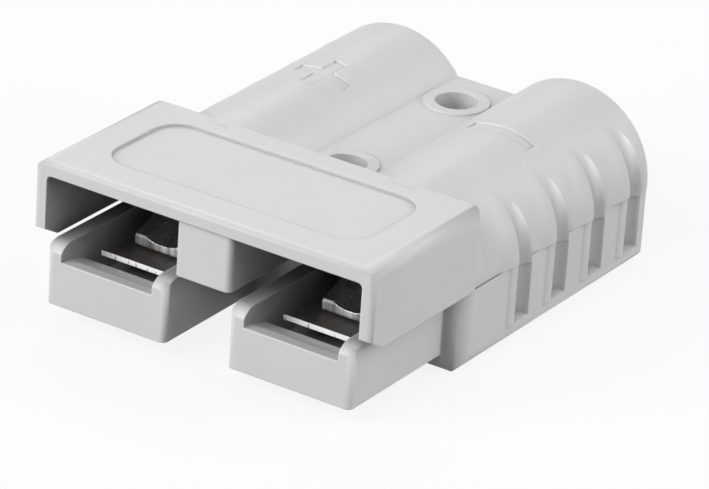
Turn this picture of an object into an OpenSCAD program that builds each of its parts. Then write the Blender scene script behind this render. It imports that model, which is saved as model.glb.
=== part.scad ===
// Genderless two-pole power connector, 50 A size: one moulded housing, two contacts, two leaf springs.
// X is across, the mating front faces -Y, the wires enter from +Y, and the flat base stands on z = 0.
// Two alike housings mate: the second one is turned half round about the Y direction, so that each
// hood covers the other's tongues and the contact faces meet on the mating plane.

/* [Overall] */
// Width over the hood
width = 36.5; // [35:0.1:40]
// Length from the mating front to the wire end
length = 47.5; // [45:0.1:56]
// Height of the mating plane above the base, and of the hood's top above the mating plane
half_height = 7.9; // [7.6:0.1:9]

/* [Hood] */
// Length of the hood along its top
hood_length = 17.6; // [17:0.1:20]
// Depth that the mating half slides in, from the front to the shoulder
mating_depth = 14.3; // [12.5:0.1:15]
// Thickness of the hood's top plate
hood_top = 1.5; // [1.2:0.1:1.8]
// Thickness of the hood's side walls
hood_side = 1.3; // [1:0.1:1.6]
// Radius of the hood's two long top edges
hood_edge_r = 1.5; // [0.5:0.1:2]
// Radius of the hood's upright rear corners
hood_rear_r = 1.1; // [0.5:0.1:2]
// Radius of the hood's front edges
hood_front_r = 0.5; // [0.2:0.1:0.8]
// Rise of the cut at the lower front corner of each side wall
hood_cut_h = 1.1; // [0.5:0.1:2]
// Length of that cut
hood_cut_l = 2; // [1:0.1:3]
// Play between a tongue and the hood that slides over it
mating_play = 0.4; // [0.2:0.05:0.6]

/* [Label recess] */
// Width of the shallow recess in the hood's top
recess_w = 28; // [20:0.5:30]
// Length of the recess
recess_l = 11.4; // [8:0.1:12]
// Distance of the recess from the hood's rear edge
recess_back = 2.6; // [2:0.1:4]
// Corner radius of the recess
recess_r = 3; // [1:0.1:4]
// Depth of the recess
recess_d = 0.3; // [0.1:0.05:0.5]

/* [Tongues] */
// Gap between the two tongues
tongue_gap = 6.8; // [6:0.1:8]
// Thickness of a tongue's front wall
front_t = 1.1; // [0.9:0.1:1.6]
// Depth of the wide notch in the front wall
notch_d = 1.65; // [1:0.05:2.2]
// Length of the arched run-down at the front of each rim
rim_cut_l = 1.55; // [1:0.05:2.5]
// Height of that run-down
rim_cut_h = 0.85; // [0.4:0.05:1.4]
// Radius of a tongue's upright front edges
tongue_edge_r = 0.6; // [0.2:0.1:1]
// Thickness of a tongue's floor
floor_t = 1.3; // [1:0.1:1.6]

/* [Centre key] */
// How far the key stands back from the hood's front
key_back = 0.4; // [0.2:0.1:1]
// Height of the key's lower face above the mating plane
key_clear = 0.85; // [0.4:0.05:1.5]
// Radius of the key's upright front edges
key_r = 0.6; // [0.2:0.1:1]

/* [Base and barrels] */
// Width of the base
base_w = 36.3; // [35:0.1:39]
// Radius of the base's long lower edges
base_edge_r = 1.55; // [0.5:0.05:2]
// Radius of the base's lower edges at its two ends
base_end_r = 1.8; // [0.5:0.1:2]
// Radius of the base's upright shoulder corners
shoulder_r = 2.6; // [1:0.1:3.2]
// Radius round the wire end
rear_edge_r = 0.65; // [0.3:0.05:1]
// Distance between the two barrel axes
barrel_pitch = 20; // [19:0.1:21]
// Radius of a barrel where it leaves the hood
barrel_r_front = 8; // [7.5:0.05:8.1]
// Radius of a barrel at the wire end
barrel_r_rear = 8.2; // [7.5:0.05:8.3]
// Height of the web between the barrels above the mating plane
web_h = 4.85; // [3:0.05:6]

/* [Mounting holes] */
// Diameter of the two mounting holes
hole_d = 4.15; // [3.5:0.05:4.6]
// Distance between the two mounting holes
hole_pitch = 18.9; // [18:0.1:19.5]
// Distance of the rear hole from the wire end
hole_rear = 5.9; // [5:0.1:7]
// Diameter of the low boss round each hole
boss_d = 6.4; // [5:0.1:7]
// Height of the boss
boss_h = 0.2; // [0.1:0.05:0.5]

/* [Grip grooves] */
// Grooves on each side
groove_count = 4; // [2:1:4]
// Distance from groove to groove
groove_pitch = 6.4; // [5:0.1:6.6]
// Distance of the last groove's steep end from the wire end
groove_rear = 4.05; // [3:0.05:5]
// Radius of a groove's hollow floor
groove_r = 2.6; // [1.5:0.1:4]
// Depth of a groove
groove_d = 0.75; // [0.3:0.05:1]
// Distance from a groove's steep end to its deepest place
groove_a = 0.6; // [0.2:0.1:1]
// Height of a groove's lower end above the base
groove_bottom = 1.9; // [1.6:0.1:3]
// Height of the low ridge in front of each groove
ridge_h = 0.15; // [0.1:0.05:0.3]
// Length of the ridge
ridge_l = 3.6; // [2:0.1:4]

/* [Wire entries] */
// Diameter of the bore that holds the contact
bore_d = 9.6; // [9.4:0.1:10.5]
// Diameter of the mouth at the wire end
mouth_d = 11.6; // [10.6:0.1:12]
// Depth of the flared mouth
mouth_depth = 2.5; // [1:0.1:4]
// Width of the channel that the contact's blade and the spring lie in
channel_w = 10; // [9:0.1:10.4]
// Height of the channel above the mating plane
channel_top = 1; // [0.6:0.1:1.4]
// Play between the contact's neck and the front end of the bore
bore_play = 0.4; // [0.2:0.1:1]

/* [Contacts] */
// Outer diameter of the contact's wire barrel
crimp_d = 9; // [8:0.1:9.2]
// Inner diameter of the contact's wire barrel
crimp_bore = 6.2; // [5:0.1:6.6]
// Length of the contact's wire barrel
crimp_l = 13.5; // [10:0.1:14]
// Length of the cone between the contact's wire barrel and its blade
neck_l = 2.6; // [1:0.1:2.8]
// How far the contact sits inside the wire end
contact_set = 4.5; // [3:0.1:5.5]
// Distance of the contact's tip from the mating front
nose_back = 8.8; // [8:0.1:9.6]
// Width of the contact's blade
blade_w = 5.8; // [5:0.1:7]
// How far the blade stands outward of the wire barrel's axis
blade_shift = 0.3; // [0:0.1:0.6]
// Thickness of the contact's blade
blade_t = 2; // [1.6:0.1:2.2]
// Height of the contact face above the mating plane
blade_proud = 0.2; // [0:0.05:0.4]
// Length of the turned-down nose
nose_l = 3.6; // [2.5:0.1:4.5]
// How far the nose drops below the contact face
nose_drop = 1.35; // [0.6:0.05:1.5]
// Thickness of the nose at its tip
nose_t = 1.3; // [1:0.05:2]
// Radius of the tip's edges
nose_r = 0.4; // [0.2:0.05:0.5]
// Radius of the dish along the nose's upper face
dish_r = 5.5; // [4:0.1:9]
// Depth of the dish at the tip
dish_d = 0.5; // [0.2:0.05:0.6]

/* [Leaf springs] */
// Width of a spring
spring_w = 7.9; // [6:0.1:8.4]
// Thickness of a spring
spring_t = 0.5; // [0.3:0.05:0.6]
// Distance of the spring's front edge from the mating front
spring_front = 4.7; // [4.4:0.1:6]
// Depth of the spring's front edge below the mating plane
spring_lip = 1.7; // [1.4:0.05:2]
// Play of the spring's tail in its slot
spring_play = 0.1; // [0.05:0.05:0.2]

/* [Hidden] */
$fn = 64;
// Overrun of a cut past the face that it opens
over = 1;
// Pieces of each curved run of the spring
spring_steps = 12;
front = -length / 2;
rear = length / 2;
mate = half_height;
shoulder = front + mating_depth;
hood_rear = front + hood_length;
hood_x = width / 2;
mouth_x = hood_x - hood_side;
mouth_z = half_height - hood_top;
base_x = base_w / 2;
axis_x = barrel_pitch / 2;
tongue_in = tongue_gap / 2;
tongue_out = mouth_x - mating_play;
tongue_z = mouth_z - mating_play;
key_x = tongue_in - mating_play;
web_x = axis_x - barrel_r_front / 2;
rim_arc_r = (rim_cut_l * rim_cut_l / rim_cut_h + rim_cut_h) / 2;
channel_floor = -(tongue_z - floor_t);
bore_depth = contact_set + crimp_l + neck_l + bore_play;
bore_front = rear - bore_depth;
// Ramp behind the tongue's front wall, and the step down to the channel's floor
ramp_l = 2.2;
ramp_drop = 0.6;
step_l = 0.6;
// Bridge over the spring's tail
bridge_l = 4;
bridge_t = 0.7;
bridge_front = mating_depth + 3.2;
slot_h = spring_t + 2 * spring_play;
// How far the spring's flat tail reaches out of the slot, at each end
tail_over = 0.4;
// Radius that a groove's floor adds to the barrel's, which lets the groove run out up the flank
groove_spread = 2.6;
// How far the lower, straight part of a groove is deeper than the upper one, and how far it rises
// towards the mating plane
groove_step = 0.1;
groove_step_z = 0.8;
// Steep ends of the grooves
grooves = [for (i = [0 : groove_count - 1]) rear - groove_rear - i * groove_pitch];
// Slope of a groove's lower end
groove_end_a = 35;
// Ridges on the barrels: how far their ring is moved outward and set into the barrel, which lets them
// fade out half-way up its side, and how much the ring's outline rises
ridge_shift = 0.7;
ridge_sink = 0.4;
ridge_rise = 0.33;
// Ridge's outline: length of its crest, pieces of its rise, and the blunted edge
ridge_crest = 0.7;
ridge_steps = 8;
ridge_edge = 0.25;
// Spring's middle line: depth at the tail, at the valley under the nose, and at the lip
tail_z = channel_floor + slot_h / 2;
valley_z = blade_proud - nose_drop - nose_t - spring_play - spring_t / 2;
lip_z = -(spring_lip + spring_t / 2);
tail_l = bridge_l + 2 * tail_over;
nose_y = front + nose_back;
contact_l = length - contact_set - nose_back;

// Extrudes an X-Z outline from y0 to y1
module along_y(y0, y1) {
    translate([0, y1, 0]) rotate([90, 0, 0]) linear_extrude(y1 - y0) children();
}

// Extrudes a Y-Z outline from x0 to x1
module along_x(x0, x1) {
    translate([x0, 0, 0]) rotate([90, 0, 90]) linear_extrude(x1 - x0) children();
}

// Rectangle between two corners
module rect(a, b) {
    translate(a) square(b - a);
}

// What rounding by r takes off the outer corner at the origin, where the material lies below and left
module corner(r) {
    difference() {
        rect([-r, -r], [over, over]);
        translate([-r, -r]) circle(r);
    }
}

// Takes the outline's right corner at [x, y] and its mirror image off; side is 1 for an upper corner
module both_corners(x, y, r, side) {
    for (s = [-1, 1]) {
        flip_x(s) translate([x, y]) flip_y(side) corner(r);
    }
}

// Mirror image for -1, the shape itself for 1
module flip_x(s) {
    mirror([s < 0 ? 1 : 0, 0, 0]) children();
}
module flip_y(s) {
    mirror([0, s < 0 ? 1 : 0, 0]) children();
}

// Both sides of the connector
module both_sides() {
    for (s = [-1, 1]) {
        flip_x(s) children();
    }
}

// Base below the mating plane, from the shoulder to the wire end
module base() {
    difference() {
        along_y(shoulder, rear) difference() {
            rect([-base_x, 0], [base_x, mate]);
            both_corners(base_x, 0, base_edge_r, -1);
        }
        translate([0, 0, -over]) linear_extrude(mate + 2 * over) {
            both_corners(base_x, rear, rear_edge_r, 1);
            both_corners(base_x, shoulder, shoulder_r, -1);
        }
        along_x(-width, width) {
            translate([rear, 0]) flip_y(-1) corner(base_end_r);
            translate([shoulder, 0]) flip_x(-1) flip_y(-1) corner(base_end_r);
        }
    }
}

// Round barrel along +Y from the origin, with its wire end rounded
module barrel_form(l) {
    rotate([-90, 0, 0]) {
        cylinder(h = l - rear_edge_r, r1 = barrel_r_front, r2 = barrel_r_rear);
        translate([0, 0, l - rear_edge_r]) rotate_extrude() {
            square([barrel_r_rear - rear_edge_r, rear_edge_r]);
            translate([barrel_r_rear - rear_edge_r, 0]) intersection() {
                circle(rear_edge_r);
                square(rear_edge_r);
            }
        }
    }
}

// Upper halves of the two barrels and the web between them
module barrels() {
    both_sides() intersection() {
        translate([axis_x, hood_rear - over, mate]) barrel_form(rear - hood_rear + over);
        translate([0, hood_rear - over, mate - over]) cube([width, length, half_height + 2 * over]);
    }
    difference() {
        translate([-web_x, hood_rear - over, mate - over])
            cube([2 * web_x, rear - hood_rear + over, web_h + over]);
        along_x(-width, width) translate([rear, mate + web_h]) corner(rear_edge_r);
    }
    for (y = [rear - hole_rear, rear - hole_rear - hole_pitch]) {
        translate([0, y, mate + web_h - over]) cylinder(h = boss_h + over, d = boss_d);
    }
}

// Hood over the mating half's tongues, with the key hanging from its middle
module hood() {
    difference() {
        along_y(front, hood_rear) difference() {
            rect([-hood_x, mate], [hood_x, mate + half_height]);
            both_corners(hood_x, mate + half_height, hood_edge_r, 1);
        }
        along_y(front - over, shoulder) difference() {
            rect([-mouth_x, mate - over], [mouth_x, mate + mouth_z]);
            both_corners(mouth_x, mate + mouth_z, hood_front_r, 1);
        }
        translate([0, 0, mate - over]) linear_extrude(half_height + 2 * over) {
            both_corners(hood_x, hood_rear, hood_rear_r, 1);
            both_corners(hood_x, front, hood_front_r, -1);
        }
        along_x(-width, width) {
            translate([front, mate + half_height]) flip_x(-1) corner(hood_front_r);
            polygon([[front - over, mate - over], [front + hood_cut_l, mate - over],
                [front + hood_cut_l, mate], [front, mate + hood_cut_h], [front - over, mate + hood_cut_h]]);
        }
        label_recess();
    }
    difference() {
        translate([-key_x, front + key_back, mate + key_clear])
            cube([2 * key_x, mating_depth, mouth_z - key_clear + hood_top / 2]);
        translate([0, 0, mate]) linear_extrude(half_height) both_corners(key_x, front + key_back, key_r, -1);
    }
}

// Shallow rounded recess in the hood's top
module label_recess() {
    y1 = hood_rear - recess_back;
    y0 = y1 - recess_l;
    translate([0, 0, mate + half_height - recess_d]) linear_extrude(recess_d + over) difference() {
        rect([-recess_w / 2, y0], [recess_w / 2, y1]);
        both_corners(recess_w / 2, y1, recess_r, 1);
        both_corners(recess_w / 2, y0, recess_r, -1);
    }
}

// Right tongue, a trough that carries the spring and the contact's blade
module tongue() {
    difference() {
        translate([tongue_in, front, mate - tongue_z])
            cube([tongue_out - tongue_in, mating_depth + over, tongue_z]);
        translate([0, 0, -over]) linear_extrude(mate + 2 * over) {
            translate([tongue_out, front]) flip_y(-1) corner(tongue_edge_r);
            translate([tongue_in, front]) flip_x(-1) flip_y(-1) corner(tongue_edge_r);
        }
        along_x(0, width) translate([front + rim_cut_l, mate]) difference() {
            rect([-rim_cut_l - over, -rim_cut_h], [0, over]);
            translate([0, -rim_arc_r]) circle(rim_arc_r);
        }
    }
}

// Right channel from the notch in the tongue's front wall to the bore, less the bridge over the spring's tail
module channel() {
    wall = front + front_t;
    foot = mate + channel_floor;
    along_x(axis_x - channel_w / 2, axis_x + channel_w / 2) difference() {
        polygon([[front - over, mate + channel_top], [front - over, mate - notch_d], [wall, mate - notch_d],
            [wall + ramp_l, mate - notch_d - ramp_drop], [wall + ramp_l + step_l, foot],
            [bore_front + over, foot], [bore_front + over, mate + channel_top]]);
        translate([front + bridge_front, foot + slot_h]) square([bridge_l, bridge_t]);
    }
}

// Right bore for the contact and its flared mouth
module wire_entry() {
    translate([axis_x, bore_front, mate]) rotate([-90, 0, 0]) {
        cylinder(h = bore_depth + over, d = bore_d);
        translate([0, 0, bore_depth - mouth_depth]) cylinder(h = mouth_depth, d1 = bore_d, d2 = mouth_d);
    }
}

// Radius of a barrel at y
function barrel_r(y) = barrel_r_front
    + (barrel_r_rear - barrel_r_front) * (y - hood_rear) / (rear - hood_rear);

// Outline of a groove's round floor: its steep end lies on the X axis, its depth along -X
module hollow(depth) {
    intersection() {
        translate([groove_r - depth, groove_a]) circle(groove_r);
        rect([-groove_r, 0], [2 * groove_r, 2 * groove_r]);
    }
}

// Grip groove on the right side with its steep end at y
module groove(y) {
    r = barrel_r_rear + groove_spread;
    top = mate - groove_step_z;
    difference() {
        translate([base_x, y, groove_bottom]) linear_extrude(top - groove_bottom)
            hollow(groove_d + groove_step);
        translate([base_x, y, groove_bottom]) rotate([0, groove_end_a, 0])
            translate([-width, -over, -width]) cube([2 * width, length, width]);
    }
    translate([base_x, y, top]) linear_extrude(groove_step_z) hollow(groove_d);
    intersection() {
        translate([base_x - groove_d - r, y, mate]) rotate([-90, 0, 0]) rotate_extrude()
            translate([r + groove_d, 0]) hollow(groove_d);
        translate([axis_x, y - over, mate]) cube([width, 2 * groove_r + over, width]);
    }
}

// Outline of a ridge that rises smoothly along the Y axis from the depth -rise to its crest at x = 0
module ridge_form(rise) {
    polygon(concat([for (i = [0 : ridge_steps])
        [rise * (ease(i / ridge_steps) - 1), (ridge_l - ridge_crest) * i / ridge_steps - ridge_l]],
        [[0, -ridge_edge], [-ridge_edge / 3, 0], [-rise, 0]]));
}

// Low ridge on the right side in front of the groove whose steep end is at y
module ridge(y) {
    translate([base_x + ridge_h, y, groove_bottom]) linear_extrude(mate - groove_bottom)
        ridge_form(ridge_h + over);
    intersection() {
        translate([axis_x + ridge_shift, y, mate]) rotate([-90, 0, 0]) rotate_extrude()
            translate([barrel_r(y) - ridge_sink, 0]) ridge_form(ridge_rise);
        translate([axis_x, y - length, mate]) cube([width, 2 * length, width]);
    }
}

// The one-piece moulded housing
module housing() {
    color("#d6d7d8") difference() {
        union() {
            base();
            barrels();
            both_sides() for (y = grooves) ridge(y);
            hood();
            both_sides() tongue();
        }
        both_sides() {
            channel();
            wire_entry();
            for (y = grooves) {
                groove(y);
            }
        }
        for (y = [rear - hole_rear, rear - hole_rear - hole_pitch]) {
            translate([0, y, -over]) cylinder(h = mate + web_h + boss_h + 2 * over, d = hole_d);
        }
    }
}

// Side outline of the contact's blade, drawn from its tip towards +Y with the mating plane at zero
module blade_outline() {
    end = contact_l - crimp_l + over;
    tip_top = blade_proud - nose_drop;
    tip_under = tip_top - nose_t;
    under = blade_proud - blade_t;
    polygon([[0, tip_top - nose_r], [nose_r, tip_top], [nose_l, blade_proud], [end, blade_proud],
        [end, under], [nose_l, under], [nose_r, tip_under], [0, tip_under + nose_r]]);
    for (z = [tip_top - nose_r, tip_under + nose_r]) {
        translate([nose_r, z]) circle(nose_r);
    }
}

// Contact on the right: wire barrel, neck and blade in one piece, with a dished nose
module contact() {
    barrel_front = contact_l - crimp_l;
    slope = atan((nose_drop + dish_d) / nose_l);
    translate([axis_x, nose_y, mate]) difference() {
        union() {
            along_x(blade_shift - blade_w / 2, blade_shift + blade_w / 2) blade_outline();
            rotate([-90, 0, 0]) {
                translate([0, 0, barrel_front]) cylinder(h = crimp_l, d = crimp_d);
                translate([0, 0, barrel_front - neck_l])
                    cylinder(h = neck_l, r1 = blade_t, r2 = crimp_d / 2);
            }
        }
        translate([0, barrel_front, 0]) rotate([-90, 0, 0]) cylinder(h = crimp_l + over, d = crimp_bore);
        translate([blade_shift, 0, blade_proud - nose_drop - dish_d + dish_r / cos(slope)])
            rotate([slope - 90, 0, 0]) cylinder(h = 4 * nose_l, r = dish_r, center = true);
    }
}

// Smooth step from 0 to 1
function ease(t) = (1 - cos(180 * t)) / 2;

// Leaf spring on the right: flat tail in its slot, a rise to the valley under the nose, and a raised lip
module spring() {
    lip_y = front + spring_front;
    valley_y = nose_y + nose_r;
    tail_y = front + bridge_front - tail_over;
    rise = [for (i = [0 : spring_steps]) [lip_y + (valley_y - lip_y) * i / spring_steps,
        lip_z + (valley_z - lip_z) * (1 - pow(1 - i / spring_steps, 2))]];
    fall = [for (i = [1 : spring_steps]) [valley_y + (tail_y - valley_y) * i / spring_steps,
        valley_z + (tail_z - valley_z) * ease(i / spring_steps)]];
    line = concat(rise, fall, [[tail_y + tail_l, tail_z]]);
    n = len(line);
    translate([0, 0, mate]) along_x(axis_x - spring_w / 2, axis_x + spring_w / 2)
        polygon(concat([for (p = line) p + [0, spring_t / 2]],
            [for (i = [n - 1 : -1 : 0]) line[i] - [0, spring_t / 2]]));
}

module right_contact() { color("#b9bab6") contact(); }
module left_contact() { flip_x(-1) right_contact(); }
module right_spring() { color("#9fa1a3") spring(); }
module left_spring() { flip_x(-1) right_spring(); }

housing();
left_contact();
right_contact();
left_spring();
right_spring();
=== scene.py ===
import math

import bpy
from mathutils import Matrix, Vector


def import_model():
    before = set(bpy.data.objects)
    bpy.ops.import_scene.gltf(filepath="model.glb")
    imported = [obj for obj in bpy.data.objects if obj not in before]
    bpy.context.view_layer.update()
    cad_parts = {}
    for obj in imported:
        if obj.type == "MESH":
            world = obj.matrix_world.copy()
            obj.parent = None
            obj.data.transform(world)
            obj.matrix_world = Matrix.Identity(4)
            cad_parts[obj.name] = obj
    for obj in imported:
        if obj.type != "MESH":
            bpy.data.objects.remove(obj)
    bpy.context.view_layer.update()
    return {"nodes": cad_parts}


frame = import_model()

# Looks of the genderless power connector: the five CAD nodes in one shared frame, X across, -Y towards
# the mating front, +Z up, base at z = 0. Lengths are in metres; values named _MM are in millimetres.
MM = 0.001
scene = bpy.context.scene
scene.view_settings.view_transform = "Standard"
nodes = frame["nodes"]


# ---------------------------------------------------------------- camera
# The photo's camera: angles in degrees, distance and aim in metres, lens and sensor in millimetres
CAM_AZ, CAM_EL, CAM_ROLL = (math.radians(v) for v in (32.1126, 25.0849, -3.926))
CAM_DISTANCE = 0.4566635
CAM_AIM = Vector((0.0015085, -0.0008656, 0.0051003))
CAM_LENS = 252.72
CAM_SENSOR = 36
CAM_CLIP = (0.01, 10)


def direction(azimuth, elevation):
    """Unit vector from the object; azimuth 0 is the mating front's side, both angles in radians."""
    flat = math.cos(elevation)
    return Vector((math.sin(azimuth) * flat, -math.cos(azimuth) * flat, math.sin(elevation)))


def camera():
    back = direction(CAM_AZ, CAM_EL)
    level = (-back).cross(Vector((0, 0, 1))).normalized()
    below = (-back).cross(level)
    right = math.cos(CAM_ROLL) * level + math.sin(CAM_ROLL) * below
    up = math.sin(CAM_ROLL) * level - math.cos(CAM_ROLL) * below
    cam = bpy.data.objects.new("camera", bpy.data.cameras.new("camera"))
    cam.data.lens = CAM_LENS
    cam.data.sensor_width = CAM_SENSOR
    cam.data.clip_start, cam.data.clip_end = CAM_CLIP
    turn = Matrix((right, up, back)).transposed().to_4x4()
    cam.matrix_world = Matrix.Translation(CAM_AIM + back * CAM_DISTANCE) @ turn
    scene.collection.objects.link(cam)
    scene.camera = cam


camera()


# ---------------------------------------------------------------- node helpers
class Graph:
    """A material's node tree, with short calls for making and linking nodes."""

    def __init__(self, name):
        self.material = bpy.data.materials.new(name)
        self.material.use_nodes = True
        self.tree = self.material.node_tree
        self.tree.nodes.clear()
        self.out = self.new("ShaderNodeOutputMaterial")

    def new(self, kind, **values):
        node = self.tree.nodes.new(kind)
        for key, value in values.items():
            setattr(node, key, value)
        return node

    def put(self, socket, value):
        if isinstance(value, bpy.types.NodeSocket):
            self.tree.links.new(value, socket)
        else:
            socket.default_value = value

    def place(self, stretch=(1, 1, 1)):
        coordinates = self.new("ShaderNodeTexCoord")
        mapping = self.new("ShaderNodeMapping")
        self.put(mapping.inputs["Vector"], coordinates.outputs["Object"])
        self.put(mapping.inputs["Scale"], stretch)
        return mapping.outputs["Vector"]

    def noise(self, scale, detail=2.0, rough=0.5, stretch=(1, 1, 1)):
        node = self.new("ShaderNodeTexNoise")
        self.put(node.inputs["Vector"], self.place(stretch))
        self.put(node.inputs["Scale"], scale)
        self.put(node.inputs["Detail"], detail)
        self.put(node.inputs["Roughness"], rough)
        return node.outputs["Fac"]

    def ramp(self, value, low, high, out_low, out_high):
        node = self.new("ShaderNodeMapRange")
        for socket, v in zip(node.inputs, (value, low, high, out_low, out_high)):
            self.put(socket, v)
        return node.outputs["Result"]

    def mix(self, factor, a, b):
        node = self.new("ShaderNodeMix", data_type="RGBA")
        self.put(node.inputs["Factor"], factor)
        self.put(node.inputs["A"], a)
        self.put(node.inputs["B"], b)
        return node.outputs["Result"]

    def math(self, operation, a, b):
        node = self.new("ShaderNodeMath", operation=operation)
        self.put(node.inputs[0], a)
        self.put(node.inputs[1], b)
        return node.outputs["Value"]

    def bump(self, height, distance, strength=1.0, normal=None):
        node = self.new("ShaderNodeBump")
        self.put(node.inputs["Height"], height)
        self.put(node.inputs["Distance"], distance)
        self.put(node.inputs["Strength"], strength)
        if normal is not None:
            self.put(node.inputs["Normal"], normal)
        return node.outputs["Normal"]

    def axes(self):
        """The three coordinates of the place in the shared frame, in metres."""
        split = self.new("ShaderNodeSeparateXYZ")
        self.put(split.inputs["Vector"], self.new("ShaderNodeTexCoord").outputs["Object"])
        return split.outputs

    def facing(self):
        """The three parts of the face's direction."""
        split = self.new("ShaderNodeSeparateXYZ")
        self.put(split.inputs["Vector"], self.new("ShaderNodeNewGeometry").outputs["True Normal"])
        return split.outputs

    def openness(self, reach, inside=False):
        """How open the place is, from 0 in a deep corner to 1 on a free face of the same piece.
        Taken inside the piece, it is low along the outer edges."""
        node = self.new("ShaderNodeAmbientOcclusion", samples=8, only_local=True, inside=inside)
        self.put(node.inputs["Distance"], reach)
        return node.outputs["AO"]

    def soft_edges(self, radius):
        node = self.new("ShaderNodeBevel", samples=6)
        self.put(node.inputs["Radius"], radius)
        return node.outputs["Normal"]

    def principled(self, **values):
        node = self.new("ShaderNodeBsdfPrincipled")
        for key, value in values.items():
            self.put(node.inputs[key], value)
        self.put(self.out.inputs["Surface"], node.outputs["BSDF"])
        return node


def linear(r, g, b):
    """Linear colour of an sRGB triple from 0 to 255, none of them near black."""
    return tuple(((c / 255 + 0.055) / 1.055) ** 2.4 for c in (r, g, b)) + (1.0,)


def grey(level):
    """Linear colour of an sRGB grey from 0 to 255."""
    return linear(level, level, level)


# ---------------------------------------------------------------- materials
# Reach in metres of the painted shade inside the mouth and in the grip grooves, and of the painted
# highlight along the outer edges
MOUTH_REACH = 0.012
GROOVE_REACH = 0.003
RIM_REACH = 0.0003
# Radii of the softened edges in metres
PLASTIC_EDGE = 0.00018
METAL_EDGE = 0.00015
# Heights of the fine bumps in metres
PLASTIC_GRAIN = 0.000004
METAL_GRAIN = 0.000006


def plastic_material():
    """Satin light-grey plastic, with painted shade deep in the mouth and in the grooves, and painted
    highlights on rims and scoops.
    """
    g = Graph("light_grey_plastic")
    cloud = g.noise(160, 3, 0.55)
    fine = g.noise(2600, 2, 0.6)
    colour = g.mix(g.ramp(cloud, 0.3, 0.7, 0, 1), grey(203), grey(207))

    at = g.axes()
    across = g.math("ABSOLUTE", at["X"], 0.0)
    # Painted shade: deep in the mouth, behind the lip or above the tongue's floor and in front of the
    # hood's rear, the colour is darkened towards grey 120 where little is open around it.
    past_lip = g.ramp(at["Y"], -0.0215, -0.016, 0, 1)
    over_floor = g.ramp(at["Z"], 0.006, 0.008, 0, 1)
    in_hood = g.ramp(at["Y"], -0.008, -0.005, 1, 0)
    mouth = g.math("MULTIPLY", g.math("MAXIMUM", past_lip, over_floor), in_hood)
    deep = g.math("MULTIPLY", g.ramp(g.openness(MOUTH_REACH), 0.1, 0.75, 1, 0), mouth)
    colour = g.mix(deep, colour, grey(120))

    # Painted shade: on the side flanks, the colour is darkened towards grey 70 in the hollows of the grip
    # grooves.
    flank = g.ramp(across, 0.016, 0.0172, 0, 1)
    painted_groove_shade = g.math("MULTIPLY", g.ramp(g.openness(GROOVE_REACH), 0.5, 0.94, 0.95, 0), flank)
    colour = g.mix(painted_groove_shade, colour, grey(70))

    # Painted highlight: on the barrels' upper flanks, faces turned towards the front, such as the grooves'
    # scoops, are lightened towards grey 245.
    painted_scoop_highlight = g.ramp(g.facing()["Y"], -0.45, -0.2, 0.75, 0)
    on_barrel = (
        g.ramp(at["Z"], 0.0085, 0.0125, 0, 1),
        g.ramp(at["Y"], -0.005, -0.004, 0, 1),
        g.ramp(across, 0.014, 0.0145, 0, 1),
    )
    for share in on_barrel:
        painted_scoop_highlight = g.math("MULTIPLY", painted_scoop_highlight, share)
    colour = g.mix(painted_scoop_highlight, colour, grey(245))

    # Painted highlight: the colour is lightened towards grey 244 along the outer edges.
    painted_rim_highlight = g.ramp(g.openness(RIM_REACH, True), 0.35, 0.8, 0.5, 0)
    colour = g.mix(painted_rim_highlight, colour, grey(244))
    g.principled(**{
        "Base Color": colour,
        "Roughness": g.ramp(g.math("ADD", cloud, fine), 0.7, 1.3, 0.34, 0.42),
        "IOR": 1.5,
        "Specular IOR Level": 0.45,
        "Normal": g.bump(fine, PLASTIC_GRAIN, 0.6, g.soft_edges(PLASTIC_EDGE)),
    })
    return g.material


def silver_material():
    """Silver plate with drawn streaks, and a rougher sheared face at the blade's tip whose light streaks
    are painted highlight.
    """
    g = Graph("plated_contact")
    drawn = g.noise(900, 3, 0.6, (1, 0.06, 1))
    stain = g.noise(420, 4, 0.6)
    streaks = g.noise(1300, 3, 0.6, (1, 1, 0.12))
    plate = g.mix(g.ramp(stain, 0.4, 0.7, 0, 1), linear(212, 212, 213), linear(186, 186, 187))
    rough = g.ramp(g.math("ADD", drawn, stain), 0.8, 1.3, 0.18, 0.34)
    # Front faces at the tip: partly the sheared face's own rougher, less metallic finish, partly painted
    # highlight in the light streaks up to grey 240.
    sheared = g.ramp(g.facing()["Y"], -0.75, -0.6, 1, 0)
    tip = g.mix(g.ramp(streaks, 0.35, 0.65, 0, 1), linear(150, 150, 151), grey(240))
    g.principled(**{
        "Base Color": g.mix(sheared, plate, tip),
        "Metallic": g.ramp(sheared, 0, 1, 1, 0.35),
        "Roughness": g.ramp(sheared, 0, 1, rough, 0.5),
        "Normal": g.bump(drawn, METAL_GRAIN, 0.5, g.soft_edges(METAL_EDGE)),
    })
    return g.material


def spring_material():
    """Spring strip with painted shade darkening its broad faces, and painted highlight lightening its torn
    sheared edges to near white.
    """
    g = Graph("spring_steel")
    grain = g.noise(1500, 3, 0.6, (1, 0.05, 1))
    torn = g.noise(3200, 2, 0.6, (1, 0.3, 0.3))
    broad = g.ramp(g.math("ABSOLUTE", g.facing()["Z"], 0.0), 0.6, 0.8, 0, 1)
    # Painted highlight: the sheared edges are near white, standing in for their glint, with darker torn
    # specks of their own.
    torn_edge_painted_glint = g.mix(g.ramp(torn, 0.6, 0.68, 0, 1), grey(254), grey(170))
    # Painted shade: the broad faces are a dark grey-brown that stands in for the shade they lie in under
    # the hood.
    painted_dark_shade = g.mix(g.ramp(grain, 0.35, 0.65, 0, 1), linear(72, 69, 66), linear(92, 87, 82))
    g.principled(**{
        "Base Color": g.mix(broad, torn_edge_painted_glint, painted_dark_shade),
        "Metallic": 0.15,
        "Roughness": 0.45,
        "Specular IOR Level": 0.3,
        "Normal": g.bump(grain, METAL_GRAIN, 0.6),
    })
    return g.material


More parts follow.
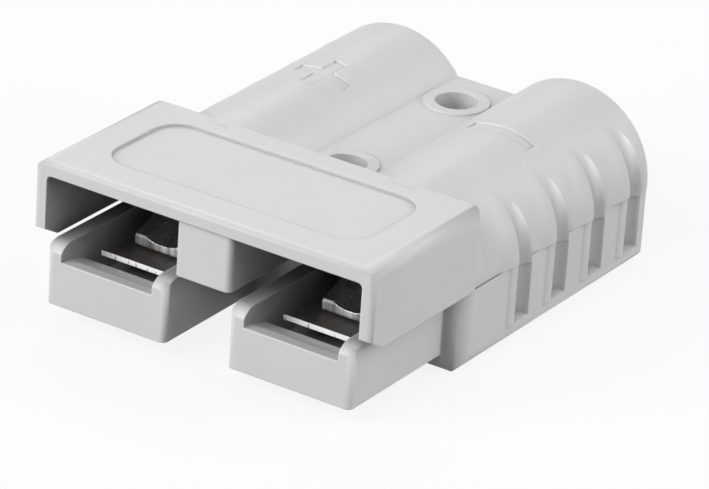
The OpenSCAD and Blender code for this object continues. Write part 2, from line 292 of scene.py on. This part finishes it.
# ---------------------------------------------------------------- the CAD nodes' looks
def dress(names, material):
    for name in names:
        mesh = nodes[name].data
        mesh.materials.clear()
        mesh.materials.append(material)


dress(["housing"], plastic_material())
dress(["left_contact", "right_contact"], silver_material())
dress(["left_spring", "right_spring"], spring_material())


# ---------------------------------------------------------------- polarity marks in the barrels' tops
# Where the barrels' axes run, and their radius at the marks
BARREL_X_MM, BARREL_Z_MM, BARREL_R_MM = 10.0, 7.9, 8.08
# Depth of the marks, how far their floor leans to the left, and the width of a stroke
DEPTH_MM = 0.15
LEAN_MM = 0.2
STROKE_MM = 1.45
# How far a cutter stands out of the barrel, and how many pieces its curved floor has
CUTTER_TOP_MM = 1
CUTTER_STEPS = 12
WELD_DISTANCE = 1e-6
# Name, middle x and y, sizes along x and y in millimetres
MARKS = (
    ("plus_across", -9.4, 9.0, 5.7, STROKE_MM),
    ("plus_along", -9.4, 9.0, STROKE_MM, 6.1),
    ("minus", 10.35, 9.0, 6.6, STROKE_MM),
)


def cutter_mesh(name, x, y, wide, long):
    """A stroke's cutter: its floor follows the barrel, LEAN_MM to the left, so that the stroke gets
    deeper towards its right end."""
    axis = math.copysign(BARREL_X_MM, x)
    radius = BARREL_R_MM - DEPTH_MM
    outline = []
    for i in range(CUTTER_STEPS + 1):
        px = x + wide * (i / CUTTER_STEPS - 0.5)
        outline.append((px, BARREL_Z_MM + math.sqrt(radius ** 2 - (px - axis + LEAN_MM) ** 2)))
    top = BARREL_Z_MM + BARREL_R_MM + CUTTER_TOP_MM
    outline += [(x + wide / 2, top), (x - wide / 2, top)]
    n = len(outline)
    verts = [(px * MM, (y + s * long / 2) * MM, pz * MM) for s in (-1, 1) for px, pz in outline]
    faces = [tuple(range(n)), tuple(range(2 * n - 1, n - 1, -1))]
    faces += [(i, i + n, (i + 1) % n + n, (i + 1) % n) for i in range(n)]
    mesh = bpy.data.meshes.new(name)
    mesh.from_pydata(verts, [], faces)
    return mesh


def engrave(name, *place):
    """Cuts one stroke into the housing with a cutter that isn't rendered."""
    housing = nodes["housing"]
    mesh = cutter_mesh(name, *place)
    mesh.materials.append(housing.data.materials[0])
    cutter = bpy.data.objects.new(name, mesh)
    cutter.hide_render = True
    scene.collection.objects.link(cutter)
    cut = housing.modifiers.new(name, "BOOLEAN")
    cut.operation = "DIFFERENCE"
    cut.solver = "EXACT"
    cut.object = cutter


weld = nodes["housing"].modifiers.new("weld", "WELD")
weld.merge_threshold = WELD_DISTANCE
for row in MARKS:
    engrave(*row)


# ---------------------------------------------------------------- floor, world and lights
# The floor's shade for light that bounces off it and as it is seen, and the share that glows white
FLOOR_SHADE = 0.25
FLOOR_SHADE_SEEN = 0.85
FLOOR_GLOW = 0.87
FLOOR_HALF = 3.0
FLOOR_DROP = 0.00005
WHITE = (1, 1, 1, 1)
# Square lamps: side and distance in metres, then name, azimuth and elevation in degrees, power in watts
LAMP_SIDE = 0.5
LAMP_DISTANCE = 1.0
LAMPS = (
    ("front_high", 0, 45, 3.7),
    ("front_left_low", -33, 18, 5.8),
    ("front_left", -45, 32, 2.2),
    ("right_back", 110, 25, 4.0),
    ("right_low", 90, 12, 2.2),
    ("back_left", -135, 45, 2.3),
    ("back_right", 145, 38, 1.8),
)


def seen_directly(tree):
    """Socket that is 1 for rays that show the background: camera, glossy and transmission rays."""
    path = tree.nodes.new("ShaderNodeLightPath")
    total = path.outputs["Is Camera Ray"]
    for name in ("Is Glossy Ray", "Is Transmission Ray"):
        add = tree.nodes.new("ShaderNodeMath")
        add.operation = "ADD"
        add.use_clamp = True
        tree.links.new(total, add.inputs[0])
        tree.links.new(path.outputs[name], add.inputs[1])
        total = add.outputs["Value"]
    return total


def floor():
    """A pale floor that looks white to the camera and keeps the object's shadow."""
    g = Graph("pale_floor")
    direct = seen_directly(g.tree)
    diffuse = g.new("ShaderNodeBsdfDiffuse")
    shade, shade_seen = ((level, level, level, 1) for level in (FLOOR_SHADE, FLOOR_SHADE_SEEN))
    g.put(diffuse.inputs["Color"], g.mix(direct, shade, shade_seen))
    glow = g.new("ShaderNodeEmission")
    g.put(glow.inputs["Color"], WHITE)
    mix = g.new("ShaderNodeMixShader")
    g.put(mix.inputs["Fac"], g.math("MULTIPLY", direct, FLOOR_GLOW))
    g.put(mix.inputs[1], diffuse.outputs["BSDF"])
    g.put(mix.inputs[2], glow.outputs["Emission"])
    g.put(g.out.inputs["Surface"], mix.outputs["Shader"])
    mesh = bpy.data.meshes.new("floor")
    s = FLOOR_HALF
    mesh.from_pydata([(-s, -s, 0), (s, -s, 0), (s, s, 0), (-s, s, 0)], [], [(0, 1, 2, 3)])
    mesh.materials.append(g.material)
    obj = bpy.data.objects.new("floor", mesh)
    obj.location.z = -FLOOR_DROP
    scene.collection.objects.link(obj)


def world():
    """A world that is white where it is seen or reflected, and gives no light of its own."""
    studio = bpy.data.worlds.new("studio")
    studio.use_nodes = True
    tree = studio.node_tree
    tree.nodes.clear()
    out = tree.nodes.new("ShaderNodeOutputWorld")
    white = tree.nodes.new("ShaderNodeBackground")
    white.inputs["Color"].default_value = WHITE
    tree.links.new(seen_directly(tree), white.inputs["Strength"])
    tree.links.new(white.outputs["Background"], out.inputs["Surface"])
    scene.world = studio


def area_light(name, azimuth, elevation, power):
    """A soft lamp that faces the object, named by where it stands."""
    way = direction(math.radians(azimuth), math.radians(elevation))
    data = bpy.data.lights.new(name, "AREA")
    data.shape = "SQUARE"
    data.size = LAMP_SIDE
    data.energy = power
    lamp = bpy.data.objects.new(name, data)
    lamp.location = way * LAMP_DISTANCE
    lamp.rotation_mode = "QUATERNION"
    lamp.rotation_quaternion = way.to_track_quat("Z", "Y")
    scene.collection.objects.link(lamp)


floor()
world()
for row in LAMPS:
    area_light(*row)
